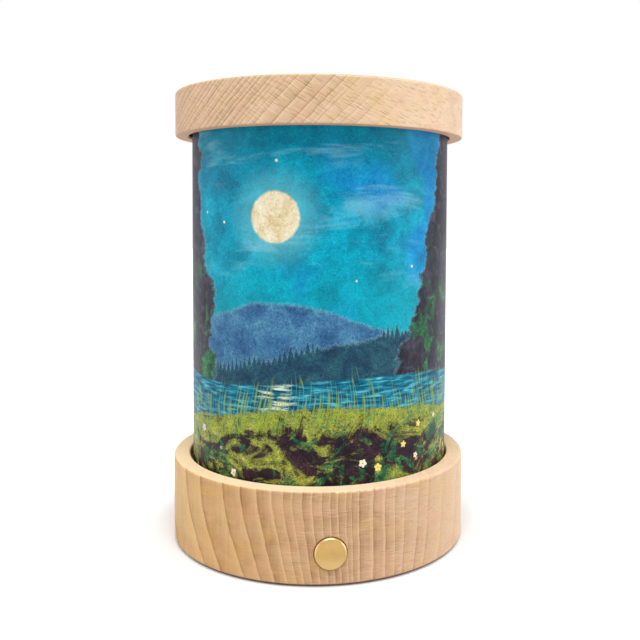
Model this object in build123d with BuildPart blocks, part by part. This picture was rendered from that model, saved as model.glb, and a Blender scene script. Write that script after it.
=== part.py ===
# Round table lantern. A turned beech base holds a rechargeable lamp unit, a brass push button at
# the front and a charging socket at the back. An opal tube with a printed sleeve round it stands
# loose in the base, and a turned beech lid rests on the tube.
#
# Millimetres. The origin is on the table under the middle of the base, +Z is up, and the button
# faces -Y.

import math
import os

from build123d import *

# Shade
shade_visible_height = 120.2  # between the rim of the base and the lid
shade_shift = 0.3  # the loose shade stands this far off centre, towards +X
sleeve_diameter = 98.2
sleeve_thickness = 0.4
sleeve_overlap = 9.0  # width of the glued seam at the back
sleeve_top_gap = 0.5  # the sleeve ends this far under the lid, so that the tube carries it
sleeve_to_tube = 0.3
tube_wall = 2.0
tube_edge = 0.4

# Wooden base
base_rim = 6.0  # wood outside the recess
base_recess_depth = 6.0
base_wall = 15.0  # from the outside to the electronics cavity
sleeve_to_base = 0.9
web_thickness = 6.0  # wood between the recess and the cavity
cavity_headroom = 8.6  # over the middle of the button
ledge_width = 6.6  # step that the bottom plate is screwed to
wood_edge = 0.8
wood_foot_edge = 0.5
rim_chamfer = 0.4

# Lid
lid_rim = 5.0
lid_thickness = 16.0
lid_recess_depth = 6.0
sleeve_to_lid = 0.9

# Screws
thread_clearance = 0.05  # added to the radius of a pilot hole
hole_clearance = 0.2  # added to the radius of a hole that a screw passes through
tip_clearance = 0.6  # pilot hole past the end of the screw
screw_slot = 0.6  # width of the cross in the head
countersunk_slot_depth = 1.2

# Foot pad and bottom plate
pad_thickness = 1.0
pad_outer_inset = 1.0
pad_inner_inset = 0.6
plate_thickness = 3.0
plate_clearance = 0.2
plate_edge = 0.4
plate_screw_count = 4
plate_screw_start = 45.0  # degrees from +X
plate_screw_inset = 2.8  # from the cavity to the middle of a screw
plate_screw_diameter = 3.0
plate_screw_length = 11.0
plate_screw_head = 5.2

# Light unit
flange_gap = 12.0  # between the flange and the tube
flange_thickness = 2.4
flange_edge = 0.7
spigot_clearance = 0.2
spigot_wall = 1.8
spigot_to_screw = 6.4
carrier_wire_hole = 7.0
carrier_screw_count = 3
carrier_screw_start = 30.0
carrier_screw_inset = 3.1  # from the edge of the flange to the middle of a screw
carrier_screw_diameter = 2.5
carrier_screw_head = 4.8
carrier_screw_head_height = 1.6
carrier_screw_length = 6.0
dome_to_screw = 0.6
dome_wall = 1.5
dome_height = 15.0
dome_edge = 7.0
led_board_gap = 1.6  # between the light board and the dome
led_board_thickness = 1.6
led_ring_inset = 7.0  # from the edge of the board to the outer ring of lights
led_outer_count = 12
led_inner_count = 6
led_length = 3.5
led_width = 2.8
led_height = 0.7
led_corner = 0.3

# Push button and switch
cap_diameter = 11.0
cap_proud = 1.2
cap_length = 3.2
cap_edge = 0.9
cap_dome = 0.25
cap_clearance = 0.2
button_travel = 1.5
stem_diameter = 5.0
stem_clearance = 0.05
stem_tip = 1.7  # stem behind the clip
guide_wall = 1.45
guide_clearance = 0.05
guide_flange = 1.2
guide_flange_width = 1.5
guide_seat_clearance = 0.6
clip_thickness = 0.6
clip_lip = 1.8  # clip outside the stem
clip_opening = 3.2
clip_play = 0.05
groove_depth = 0.6
spring_length = 5.0
spring_wire = 0.6
spring_clearance = 0.5  # round the stem
spring_turns = 4
switch_side = 7.0
switch_back_wall = 0.9
switch_edge = 0.4
switch_standoff = 2.0  # between the pressed stem and the switch
plunger_side = 2.6
plunger_inside = 4.0
plunger_clearance = 0.15
plunger_end_gap = 0.8
plunger_edge = 0.3
shroud_wall = 0.8

# Control board
board_width = 36.0
board_length = 23.2
board_thickness = 1.6
switch_overhang = 0.3  # switch in front of the board
board_corner = 1.5
board_screw_inset = 3.0
board_screw_diameter = 2.0
board_screw_head = 3.8
board_screw_head_height = 1.3
board_screw_length = 4.6
boss_diameter = 5.0
boss_height = 2.3
connector_pitch = 8.0
connector_width = 6.0
connector_height = 4.8
connector_length = 5.6
connector_wall = 0.6
plug_reach = 2.2  # plug outside its socket
plug_fit = 0.15
controller_width = 6.0
controller_length = 5.0
charger_width = 4.9
charger_length = 3.9
chip_height = 1.5
inductor_side = 4.6
inductor_height = 2.4
inductor_corner = 0.9
capacitor_diameter = 4.0
capacitor_height = 5.4
capacitor_edge = 0.4
component_gap = 2.0  # between the switch and what stands beside it

# Battery
battery_width = 44.0
battery_thickness = 8.0
battery_corner = 2.2
battery_edge = 1.1
battery_lip = 3.0
battery_lip_thickness = 1.0
battery_lead_room = 8.3  # between the plugs and the lip
foam_thickness = 1.0
foam_inset = 3.0
rib_thickness = 1.6
rib_height = 4.0
rib_length = 7.0
rib_clearance = 0.4
rib_to_wall = 0.6

# Charging socket
socket_diameter = 12.0
socket_clearance = 0.1
socket_flange = 1.0
socket_flange_width = 1.0
socket_seat_clearance = 0.3
socket_edge = 0.3
socket_rear = 1.0  # housing inside the cavity
shell_width = 8.94
shell_height = 3.26
shell_wall = 0.3
shell_length = 7.3
shell_fit = 0.05
tongue_width = 6.7
tongue_thickness = 0.7
tongue_recess = 0.8
tongue_base = 1.2

# Leads
lead_diameter = 1.4
lead_spacing = 2.2  # between the two leads of a pair
lead_clearance = 0.3
lead_straight = 2.8  # straight out of a plug or into a terminal
bend_share = 0.45  # of the shorter run, taken by each bend

# Radii that follow from the sleeve
sleeve_radius = sleeve_diameter / 2
tube_radius = sleeve_radius - sleeve_thickness - sleeve_to_tube
tube_bore_radius = tube_radius - tube_wall
base_recess_radius = sleeve_radius + sleeve_to_base
base_radius = base_recess_radius + base_rim
lid_recess_radius = sleeve_radius + sleeve_to_lid
lid_radius = lid_recess_radius + lid_rim
cavity_radius = base_radius - base_wall
ledge_radius = cavity_radius + ledge_width
plate_radius = ledge_radius - plate_clearance
plate_screw_radius = cavity_radius + plate_screw_inset

flange_radius = tube_bore_radius - flange_gap
carrier_screw_radius = flange_radius - carrier_screw_inset
web_hole_radius = carrier_screw_radius - spigot_to_screw - spigot_wall
dome_radius = carrier_screw_radius - carrier_screw_head / 2 - dome_to_screw
led_board_radius = dome_radius - dome_wall - led_board_gap
led_ring_radius = led_board_radius - led_ring_inset

# Radii of the button, its guide and its spring, and of the charging socket
cap_radius = cap_diameter / 2
stem_radius = stem_diameter / 2
groove_radius = stem_radius - groove_depth
clip_radius = stem_radius + clip_lip
guide_bore_radius = stem_radius + stem_clearance
guide_radius = guide_bore_radius + guide_wall
guide_flange_radius = guide_radius + guide_flange_width
spring_radius = stem_radius + spring_clearance + spring_wire / 2
plunger_hole = plunger_side + 2 * plunger_clearance
socket_flange_radius = socket_diameter / 2 + socket_flange_width

# Heights, from the table up
plate_bottom = pad_thickness
plate_top = plate_bottom + plate_thickness
board_bottom = plate_top + boss_height
board_top = board_bottom + board_thickness
button_height = board_top + switch_side / 2
cavity_top = button_height + cavity_headroom
recess_floor = cavity_top + web_thickness
base_top = recess_floor + base_recess_depth
lid_bottom = base_top + shade_visible_height
lid_recess_top = lid_bottom + lid_recess_depth
flange_top = recess_floor + flange_thickness
led_board_top = flange_top + led_board_thickness
foam_top = plate_top + foam_thickness
battery_top = foam_top + battery_thickness

# Places along Y, from the front to the back
cap_face = -base_radius - cap_proud
cap_back = cap_face + cap_length
cap_hole_floor = cap_back + spring_length
clip_front = -cavity_radius + guide_flange
clip_back = clip_front + clip_thickness
stem_end = clip_back + stem_tip
switch_front = stem_end + button_travel + switch_standoff
switch_length = plunger_inside + button_travel + plunger_end_gap + switch_back_wall
board_front = switch_front + switch_overhang
board_back = board_front + board_length
board_middle = (board_front + board_back) / 2
plug_back = board_back + plug_reach
lip_front = plug_back + battery_lead_room
battery_front = lip_front + battery_lip
battery_corner_radius = cavity_radius - rib_to_wall - (rib_thickness + rib_clearance) * math.sqrt(2)
battery_back = math.sqrt(battery_corner_radius**2 - (battery_width / 2) ** 2)
battery_length = battery_back - battery_front
battery_middle = (battery_front + battery_back) / 2
socket_inner_end = cavity_radius - socket_rear
socket_seat = base_radius - socket_flange
shell_end = base_radius - shell_length

os.makedirs("parts", exist_ok=True)


def looking_in(y, height=button_height):
    """A plane across the Y axis, whose sketches extrude towards +Y."""
    return Plane(origin=(0, y, height), x_dir=(1, 0, 0), z_dir=(0, 1, 0))


def shade_plane(height):
    """A level plane centred on the shade."""
    return Plane(origin=(shade_shift, 0, height))


# Wooden base: a turned ring with a web between the shade's recess and the electronics cavity
with BuildPart() as base_body:
    with BuildSketch(Plane.XY.offset(pad_thickness)):
        Circle(base_radius)
    extrude(amount=base_top - pad_thickness)
    rings = base_body.edges().filter_by(GeomType.CIRCLE).sort_by(Axis.Z)
    fillet(rings[-1], wood_edge)
    fillet(rings[0], wood_foot_edge)
    with BuildSketch(Plane.XY.offset(recess_floor)):
        Circle(base_recess_radius)
    extrude(amount=base_recess_depth, mode=Mode.SUBTRACT)
    mouth = base_body.edges().filter_by(GeomType.CIRCLE).group_by(Axis.Z)[-1].sort_by(SortBy.RADIUS)[0]
    chamfer(mouth, rim_chamfer)
    with BuildSketch(Plane.XY.offset(pad_thickness)):
        Circle(ledge_radius)
    extrude(amount=plate_thickness, mode=Mode.SUBTRACT)
    with BuildSketch(Plane.XY.offset(plate_top)):
        Circle(cavity_radius)
    extrude(amount=cavity_top - plate_top, mode=Mode.SUBTRACT)
    with BuildSketch(Plane.XY.offset(cavity_top)):
        Circle(web_hole_radius)
    extrude(amount=web_thickness, mode=Mode.SUBTRACT)
    # Button hole, guide hole and the flat that the guide's flange sits on
    with BuildSketch(looking_in(-base_radius)):
        Circle(cap_radius + cap_clearance)
    extrude(amount=cap_hole_floor + base_radius, mode=Mode.SUBTRACT)
    with BuildSketch(looking_in(cap_hole_floor)):
        Circle(guide_radius + guide_clearance)
    extrude(amount=-cavity_radius - cap_hole_floor, mode=Mode.SUBTRACT)
    with BuildSketch(looking_in(-cavity_radius)):
        Circle(guide_flange_radius + guide_seat_clearance)
    extrude(amount=guide_flange, mode=Mode.SUBTRACT)
    # Charging socket hole and the flat under its flange
    with BuildSketch(looking_in(socket_inner_end)):
        Circle(socket_diameter / 2 + socket_clearance)
    extrude(amount=base_radius - socket_inner_end, mode=Mode.SUBTRACT)
    with BuildSketch(looking_in(socket_seat)):
        Circle(socket_flange_radius + socket_seat_clearance)
    extrude(amount=socket_flange, mode=Mode.SUBTRACT)
    # Pilot holes for the screws of the plate and of the light unit
    with Locations(Plane(origin=(0, 0, plate_top), z_dir=(0, 0, -1))):
        with PolarLocations(plate_screw_radius, plate_screw_count, -plate_screw_start):
            Hole(
                radius=plate_screw_diameter / 2 + thread_clearance,
                depth=plate_screw_length - plate_thickness + tip_clearance,
            )
    with Locations((0, 0, recess_floor)):
        with PolarLocations(carrier_screw_radius, carrier_screw_count, carrier_screw_start):
            Hole(
                radius=carrier_screw_diameter / 2 + thread_clearance,
                depth=carrier_screw_length - flange_thickness + tip_clearance,
            )
base_body.part.label = "base_body"
export_step(base_body.part, "parts/base_body.step")

# Foot pad: a flat felt ring glued under the wood
with BuildPart() as foot_pad:
    with BuildSketch(Plane.XY):
        Circle(base_radius - pad_outer_inset)
        Circle(ledge_radius + pad_inner_inset, mode=Mode.SUBTRACT)
    extrude(amount=pad_thickness)
foot_pad.part.label = "foot_pad"
export_step(foot_pad.part, "parts/foot_pad.step")

# Bottom plate: a moulded disc with bosses for the control board and ribs round the battery
board_screw_x = board_width - 2 * board_screw_inset
board_screw_y = board_length - 2 * board_screw_inset
rib_x = battery_width / 2 + rib_clearance + rib_thickness / 2
rib_y = battery_length / 2 + rib_clearance + rib_thickness / 2
with BuildPart() as bottom_plate:
    with BuildSketch(Plane.XY.offset(plate_bottom)):
        Circle(plate_radius)
    extrude(amount=plate_thickness)
    chamfer(bottom_plate.edges().filter_by(GeomType.CIRCLE).sort_by(Axis.Z)[0], plate_edge)
    with BuildSketch(Plane.XY.offset(plate_top)):
        with Locations((0, board_middle)):
            with GridLocations(board_screw_x, board_screw_y, 2, 2):
                Circle(boss_diameter / 2)
    extrude(amount=board_bottom - plate_top)
    with BuildSketch(Plane.XY.offset(plate_top)):
        for side in (-1, 1):
            for end in (-1, 1):
                along = side * (rib_x + rib_thickness / 2 - rib_length / 2)
                back = end * (rib_y + rib_thickness / 2 - rib_length / 2)
                with Locations((along, battery_middle + end * rib_y)):
                    Rectangle(rib_length, rib_thickness)
                with Locations((side * rib_x, battery_middle + back)):
                    Rectangle(rib_thickness, rib_length)
    extrude(amount=rib_height)
    with Locations((0, board_middle, board_bottom)):
        with GridLocations(board_screw_x, board_screw_y, 2, 2):
            Hole(
                radius=board_screw_diameter / 2 + thread_clearance,
                depth=board_screw_length - board_thickness + tip_clearance,
            )
    with Locations(Plane(origin=(0, 0, plate_bottom), z_dir=(0, 0, -1))):
        with PolarLocations(plate_screw_radius, plate_screw_count, -plate_screw_start):
            CounterSinkHole(
                radius=plate_screw_diameter / 2 + hole_clearance,
                counter_sink_radius=plate_screw_head / 2 + hole_clearance,
                depth=plate_thickness,
                counter_sink_angle=90,
            )
bottom_plate.part.label = "bottom_plate"
export_step(bottom_plate.part, "parts/bottom_plate.step")


def countersunk_screw(diameter, head, length):
    """A cross-head countersunk screw, with the face of its head at the origin and its tip up."""
    with BuildPart() as screw:
        with BuildSketch(Plane.XZ):
            with BuildLine():
                Polyline(
                    (0, 0),
                    (head / 2, 0),
                    (diameter / 2, (head - diameter) / 2),
                    (diameter / 2, length - diameter / 2),
                    (0, length),
                    close=True,
                )
            make_face()
        revolve(axis=Axis.Z)
        with BuildSketch(Plane.XY):
            Rectangle(diameter, screw_slot)
            Rectangle(screw_slot, diameter)
        extrude(amount=countersunk_slot_depth, mode=Mode.SUBTRACT)
    return screw.part


def pan_screw(diameter, head, head_height, length):
    """A cross-head pan screw, with the seat of its head at the origin and its tip down."""
    with BuildPart() as screw:
        with BuildSketch(Plane.XY):
            Circle(head / 2)
        extrude(amount=head_height)
        fillet(screw.edges().filter_by(GeomType.CIRCLE).sort_by(Axis.Z)[-1], head_height / 3)
        with BuildSketch(Plane.XY):
            Circle(diameter / 2)
        extrude(amount=-length)
        chamfer(screw.edges().filter_by(GeomType.CIRCLE).sort_by(Axis.Z)[0], diameter / 4)
        with BuildSketch(Plane.XY.offset(head_height)):
            Rectangle(head / 2, screw_slot)
            Rectangle(screw_slot, head / 2)
        extrude(amount=-head_height / 2, mode=Mode.SUBTRACT)
    return screw.part


# Screws of the bottom plate
plate_screw = countersunk_screw(plate_screw_diameter, plate_screw_head, plate_screw_length)
with BuildPart() as plate_screws:
    with Locations((0, 0, plate_bottom)):
        with PolarLocations(plate_screw_radius, plate_screw_count, plate_screw_start):
            add(plate_screw)
plate_screws.part.label = "plate_screws"
export_step(plate_screws.part, "parts/plate_screws.step")

# Diffuser tube: opal acrylic, standing on the floor of the recess and carrying the lid
tube_length = lid_recess_top - recess_floor
with BuildPart() as diffuser_tube:
    with BuildSketch(shade_plane(recess_floor)):
        Circle(tube_radius)
        Circle(tube_bore_radius, mode=Mode.SUBTRACT)
    extrude(amount=tube_length)
    ends = diffuser_tube.edges().filter_by(GeomType.CIRCLE).group_by(Axis.Z)
    chamfer(ends[0] + ends[-1], tube_edge)
diffuser_tube.part.label = "diffuser_tube"
export_step(diffuser_tube.part, "parts/diffuser_tube.step")

# Picture sleeve: a printed sheet rolled round the tube, with its overlap glued at the back
sleeve_length = tube_length - sleeve_top_gap
seam_angle = math.degrees(sleeve_overlap / sleeve_radius)
seam_start = 90 - seam_angle / 2
with BuildPart() as picture_sleeve:
    with BuildSketch(shade_plane(recess_floor)):
        Circle(sleeve_radius)
        Circle(sleeve_radius - sleeve_thickness, mode=Mode.SUBTRACT)
    extrude(amount=sleeve_length)
    with BuildSketch(shade_plane(recess_floor)):
        with BuildLine():
            inner = CenterArc((0, 0), sleeve_radius - sleeve_thickness / 2, seam_start, seam_angle)
            outer = CenterArc((0, 0), sleeve_radius + sleeve_thickness, seam_start, seam_angle)
            Line(inner @ 0, outer @ 0)
            Line(inner @ 1, outer @ 1)
        make_face()
    extrude(amount=sleeve_length)
picture_sleeve.part.label = "picture_sleeve"
export_step(picture_sleeve.part, "parts/picture_sleeve.step")

# Lid: a turned disc with a recess that drops over the shade
with BuildPart() as lid:
    with BuildSketch(Plane.XY.offset(lid_bottom)):
        Circle(lid_radius)
    extrude(amount=lid_thickness)
    rings = lid.edges().filter_by(GeomType.CIRCLE).sort_by(Axis.Z)
    fillet(rings[-1], wood_edge)
    fillet(rings[0], wood_foot_edge)
    with BuildSketch(Plane.XY.offset(lid_bottom)):
        Circle(lid_recess_radius)
    extrude(amount=lid_recess_depth, mode=Mode.SUBTRACT)
    mouth = lid.edges().filter_by(GeomType.CIRCLE).group_by(Axis.Z)[0].sort_by(SortBy.RADIUS)[0]
    chamfer(mouth, rim_chamfer)
lid.part.label = "lid"
export_step(lid.part, "parts/lid.step")

# Light unit: a white carrier screwed down in the recess, with its spigot in the web
with BuildPart() as led_carrier:
    with BuildSketch(Plane.XY.offset(recess_floor)):
        Circle(flange_radius)
    extrude(amount=flange_thickness)
    fillet(led_carrier.edges().filter_by(GeomType.CIRCLE).sort_by(Axis.Z)[-1], flange_edge)
    with BuildSketch(Plane.XY.offset(recess_floor)):
        Circle(web_hole_radius - spigot_clearance)
        Circle(web_hole_radius - spigot_clearance - spigot_wall, mode=Mode.SUBTRACT)
    extrude(amount=-web_thickness)
    with BuildSketch(Plane.XY.offset(recess_floor)):
        Circle(carrier_wire_hole / 2)
        with PolarLocations(carrier_screw_radius, carrier_screw_count, carrier_screw_start):
            Circle(carrier_screw_diameter / 2 + hole_clearance)
    extrude(amount=flange_thickness, mode=Mode.SUBTRACT)
led_carrier.part.label = "led_carrier"
export_step(led_carrier.part, "parts/led_carrier.step")

carrier_screw = pan_screw(
    carrier_screw_diameter, carrier_screw_head, carrier_screw_head_height, carrier_screw_length
)
with BuildPart() as carrier_screws:
    with Locations((0, 0, flange_top)):
        with PolarLocations(carrier_screw_radius, carrier_screw_count, carrier_screw_start):
            add(carrier_screw)
carrier_screws.part.label = "carrier_screws"
export_step(carrier_screws.part, "parts/carrier_screws.step")

# Light board
with BuildPart() as led_board:
    with BuildSketch(Plane.XY.offset(flange_top)):
        Circle(led_board_radius)
    extrude(amount=led_board_thickness)
led_board.part.label = "led_board"
export_step(led_board.part, "parts/led_board.step")

# Lights, in two rings on the board
with BuildPart() as led_chips:
    with BuildSketch(Plane.XY.offset(led_board_top)):
        for ring_radius, count in (
            (led_ring_radius, led_outer_count),
            (led_ring_radius / 2, led_inner_count),
        ):
            with PolarLocations(ring_radius, count):
                RectangleRounded(led_width, led_length, led_corner)
    extrude(amount=led_height)
led_chips.part.label = "led_chips"
export_step(led_chips.part, "parts/led_chips.step")

# Dome: an opal cover over the lights
with BuildPart() as led_dome:
    with BuildSketch(Plane.XY.offset(flange_top)):
        Circle(dome_radius)
    extrude(amount=dome_height)
    fillet(led_dome.edges().filter_by(GeomType.CIRCLE).sort_by(Axis.Z)[-1], dome_edge)
    offset(amount=-dome_wall, openings=led_dome.faces().sort_by(Axis.Z)[0])
led_dome.part.label = "led_dome"
export_step(led_dome.part, "parts/led_dome.step")

# Push button: a slightly domed brass cap on a stem, with a groove for its clip
cap_flat = cap_radius - cap_edge
edge_centre = cap_face + cap_dome + cap_edge
edge_step = cap_edge * math.sin(math.radians(45))
with BuildPart() as push_button:
    with BuildSketch(Plane.XY.offset(button_height)):
        with BuildLine():
            ThreePointArc(
                (0, cap_face),
                (cap_flat / 2, cap_face + cap_dome / 4),
                (cap_flat, cap_face + cap_dome),
            )
            ThreePointArc(
                (cap_flat, cap_face + cap_dome),
                (cap_flat + edge_step, edge_centre - edge_step),
                (cap_radius, edge_centre),
            )
            Polyline(
                (cap_radius, edge_centre),
                (cap_radius, cap_back),
                (stem_radius, cap_back),
                (stem_radius, clip_front),
                (groove_radius, clip_front),
                (groove_radius, clip_back + clip_play),
                (stem_radius, clip_back + clip_play),
                (stem_radius, stem_end),
                (0, stem_end),
                (0, cap_face),
            )
        make_face()
    revolve(axis=Axis((0, 0, button_height), (0, 1, 0)))
push_button.part.label = "push_button"
export_step(push_button.part, "parts/push_button.step")

# Guide: the sleeve that the stem slides in, with a flange inside the cavity
with BuildPart() as button_guide:
    with BuildSketch(looking_in(cap_hole_floor)):
        Circle(guide_radius)
    extrude(amount=-cavity_radius - cap_hole_floor)
    with BuildSketch(looking_in(-cavity_radius)):
        Circle(guide_flange_radius)
    extrude(amount=guide_flange)
    with BuildSketch(looking_in(cap_hole_floor)):
        Circle(guide_bore_radius)
    extrude(amount=clip_front - cap_hole_floor, mode=Mode.SUBTRACT)
button_guide.part.label = "button_guide"
export_step(button_guide.part, "parts/button_guide.step")

# Clip: an open ring in the stem's groove, which stops the button against the guide
with BuildPart() as button_clip:
    with BuildSketch(looking_in(clip_front)):
        Circle(clip_radius)
        Circle(groove_radius + clip_play, mode=Mode.SUBTRACT)
        with Locations((0, clip_radius)):
            Rectangle(clip_opening, 2 * clip_radius, mode=Mode.SUBTRACT)
    extrude(amount=clip_thickness)
button_clip.part.label = "button_clip"
export_step(button_clip.part, "parts/button_clip.step")


def coil_point(radius, pitch, start, turn):
    """A point of a helix along +Y round the button's axis, and the helix's direction there."""
    angle = 2 * math.pi * turn
    across, up = radius * math.cos(angle), radius * math.sin(angle)
    point = Vector(across, start + pitch * turn, button_height + up)
    return point, Vector(-up, pitch / (2 * math.pi), across).normalized()


def biarc(start, start_way, end, end_way):
    """Two arcs that join two points and are tangent to a direction at each."""
    chord = end - start
    both = start_way + end_way
    apart = 2 * (1 - start_way.dot(end_way))
    along = chord.dot(both)
    reach = (-along + math.sqrt(along * along + apart * chord.dot(chord))) / apart
    joint = (start + end + (start_way - end_way) * reach) / 2
    joint_way = (end - end_way * reach) - (start + start_way * reach)
    TangentArc(start, joint, tangent=start_way)
    TangentArc(joint, end, tangent=joint_way)


# Return spring, between the cap and the guide
spring_start = cap_back + spring_wire / 2
spring_pitch = (spring_length - spring_wire) / spring_turns
with BuildPart() as button_spring:
    with BuildLine() as coil:
        for quarter in range(4 * spring_turns):
            here, way = coil_point(spring_radius, spring_pitch, spring_start, quarter / 4)
            there, next_way = coil_point(spring_radius, spring_pitch, spring_start, (quarter + 1) / 4)
            biarc(here, way, there, next_way)
    with BuildSketch(Plane(origin=coil.line @ 0, z_dir=coil.line % 0)):
        Circle(spring_wire / 2)
    sweep()
print("least gap between the spring's turns:", round(spring_pitch - spring_wire, 2))
button_spring.part.label = "button_spring"
export_step(button_spring.part, "parts/button_spring.step")

# Switch, standing on the control board with its plunger against the stem
with BuildPart() as switch_body:
    with BuildSketch(looking_in(switch_front)):
        Rectangle(switch_side, switch_side)
    extrude(amount=switch_length)
    chamfer(switch_body.edges().filter_by(Axis.Y), switch_edge)
    with BuildSketch(looking_in(switch_front)):
        Rectangle(plunger_hole, plunger_hole)
    extrude(amount=plunger_inside + button_travel + plunger_end_gap, mode=Mode.SUBTRACT)
switch_body.part.label = "switch_body"
export_step(switch_body.part, "parts/switch_body.step")

with BuildPart() as switch_plunger:
    with BuildSketch(looking_in(stem_end)):
        Rectangle(plunger_side, plunger_side)
    extrude(amount=switch_front + plunger_inside - stem_end)
    chamfer(switch_plunger.faces().sort_by(Axis.Y)[0].edges(), plunger_edge)
switch_plunger.part.label = "switch_plunger"
export_step(switch_plunger.part, "parts/switch_plunger.step")

# Shroud: a cup between the guide and the switch, which keeps dust out of the cavity
with BuildPart() as switch_shroud:
    with BuildSketch(looking_in(clip_front)):
        Circle(guide_flange_radius)
    extrude(amount=switch_front - clip_front)
    with BuildSketch(looking_in(clip_front)):
        Circle(guide_flange_radius - shroud_wall)
    extrude(amount=switch_front - shroud_wall - clip_front, mode=Mode.SUBTRACT)
    with BuildSketch(looking_in(switch_front)):
        Rectangle(plunger_hole, plunger_hole)
    extrude(amount=-shroud_wall, mode=Mode.SUBTRACT)
switch_shroud.part.label = "switch_shroud"
export_step(switch_shroud.part, "parts/switch_shroud.step")

# Control board
with BuildPart() as control_board:
    with BuildSketch(Plane.XY.offset(board_bottom)):
        with Locations((0, board_middle)):
            RectangleRounded(board_width, board_length, board_corner)
            with GridLocations(board_screw_x, board_screw_y, 2, 2):
                Circle(board_screw_diameter / 2 + hole_clearance, mode=Mode.SUBTRACT)
    extrude(amount=board_thickness)
control_board.part.label = "control_board"
export_step(control_board.part, "parts/control_board.step")

board_screw = pan_screw(
    board_screw_diameter, board_screw_head, board_screw_head_height, board_screw_length
)
with BuildPart() as board_screws:
    with Locations((0, board_middle, board_top)):
        with GridLocations(board_screw_x, board_screw_y, 2, 2):
            add(board_screw)
board_screws.part.label = "board_screws"
export_step(board_screws.part, "parts/board_screws.step")

# Controller and charger chips, one each side of the switch
beside_switch = switch_side / 2 + component_gap
with BuildPart() as control_chips:
    with BuildSketch(Plane.XY.offset(board_top)):
        with Locations((-beside_switch - controller_width / 2, switch_front + controller_length / 2)):
            Rectangle(controller_width, controller_length)
        with Locations((beside_switch + charger_width / 2, switch_front + charger_length / 2)):
            Rectangle(charger_width, charger_length)
    extrude(amount=chip_height)
control_chips.part.label = "control_chips"
export_step(control_chips.part, "parts/control_chips.step")

# Inductor, behind the charger chip
with BuildPart() as board_inductor:
    with BuildSketch(Plane.XY.offset(board_top)):
        with Locations((beside_switch + inductor_side / 2, board_middle)):
            RectangleRounded(inductor_side, inductor_side, inductor_corner)
    extrude(amount=inductor_height)
board_inductor.part.label = "board_inductor"
export_step(board_inductor.part, "parts/board_inductor.step")

# Capacitor, behind the controller chip
with BuildPart() as board_capacitor:
    with BuildSketch(Plane.XY.offset(board_top)):
        with Locations((-beside_switch - capacitor_diameter / 2, board_middle)):
            Circle(capacitor_diameter / 2)
    extrude(amount=capacitor_height)
    fillet(board_capacitor.edges().filter_by(GeomType.CIRCLE).sort_by(Axis.Z)[-1], capacitor_edge)
board_capacitor.part.label = "board_capacitor"
export_step(board_capacitor.part, "parts/board_capacitor.step")

# Lead connectors along the back edge of the board: charging, light and battery
connector_places = [step * connector_pitch for step in (-1, 0, 1)]
connector_front = board_back - connector_length
connector_middle = board_top + connector_height / 2
plug_width = connector_width - 2 * connector_wall - 2 * plug_fit
plug_height = connector_height - 2 * connector_wall - 2 * plug_fit
with BuildPart() as connector_sockets:
    with BuildSketch(looking_in(connector_front, connector_middle)):
        with Locations(*[(place, 0) for place in connector_places]):
            Rectangle(connector_width, connector_height)
    extrude(amount=connector_length)
    with BuildSketch(looking_in(connector_front + connector_wall, connector_middle)):
        with Locations(*[(place, 0) for place in connector_places]):
            Rectangle(connector_width - 2 * connector_wall, connector_height - 2 * connector_wall)
    extrude(amount=connector_length - connector_wall, mode=Mode.SUBTRACT)
connector_sockets.part.label = "connector_sockets"
export_step(connector_sockets.part, "parts/connector_sockets.step")

with BuildPart() as connector_plugs:
    with BuildSketch(looking_in(connector_front + connector_wall + plug_fit, connector_middle)):
        with Locations(*[(place, 0) for place in connector_places]):
            Rectangle(plug_width, plug_height)
    extrude(amount=plug_back - connector_front - connector_wall - plug_fit)
connector_plugs.part.label = "connector_plugs"
export_step(connector_plugs.part, "parts/connector_plugs.step")

# Battery pouch on its foam pad, with the sealed lip towards the board
lip_height = foam_top + battery_thickness / 2
with BuildPart() as battery_foam:
    with BuildSketch(Plane.XY.offset(plate_top)):
        with Locations((0, battery_middle)):
            Rectangle(battery_width - 2 * foam_inset, battery_length - 2 * foam_inset)
    extrude(amount=foam_thickness)
battery_foam.part.label = "battery_foam"
export_step(battery_foam.part, "parts/battery_foam.step")

with BuildPart() as battery_cell:
    with BuildSketch(Plane.XY.offset(foam_top)):
        with Locations((0, battery_middle)):
            RectangleRounded(battery_width, battery_length, battery_corner)
    extrude(amount=battery_thickness)
    fillet(battery_cell.faces().sort_by(Axis.Z)[-1].edges(), battery_edge)
    with BuildSketch(Plane.XY.offset(lip_height - battery_lip_thickness / 2)):
        with Locations((0, battery_front)):
            Rectangle(battery_width - 2 * battery_corner, 2 * battery_lip)
    extrude(amount=battery_lip_thickness)
battery_cell.part.label = "battery_cell"
export_step(battery_cell.part, "parts/battery_cell.step")

# Charging socket: a round housing through the back wall, with its shell and tongue
with BuildPart() as usb_housing:
    with BuildSketch(looking_in(socket_inner_end)):
        Circle(socket_diameter / 2)
    extrude(amount=socket_seat - socket_inner_end)
    with BuildSketch(looking_in(socket_seat)):
        Circle(socket_flange_radius)
    extrude(amount=socket_flange)
    rings = usb_housing.edges().filter_by(GeomType.CIRCLE).sort_by(Axis.Y)
    fillet(rings[-1], socket_edge)
    with BuildSketch(looking_in(shell_end)):
        SlotOverall(shell_width + 2 * shell_fit, shell_height + 2 * shell_fit)
    extrude(amount=shell_length, mode=Mode.SUBTRACT)
usb_housing.part.label = "usb_housing"
export_step(usb_housing.part, "parts/usb_housing.step")

with BuildPart() as usb_shell:
    with BuildSketch(looking_in(shell_end)):
        SlotOverall(shell_width, shell_height)
        SlotOverall(shell_width - 2 * shell_wall, shell_height - 2 * shell_wall, mode=Mode.SUBTRACT)
    extrude(amount=shell_length)
usb_shell.part.label = "usb_shell"
export_step(usb_shell.part, "parts/usb_shell.step")

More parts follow.
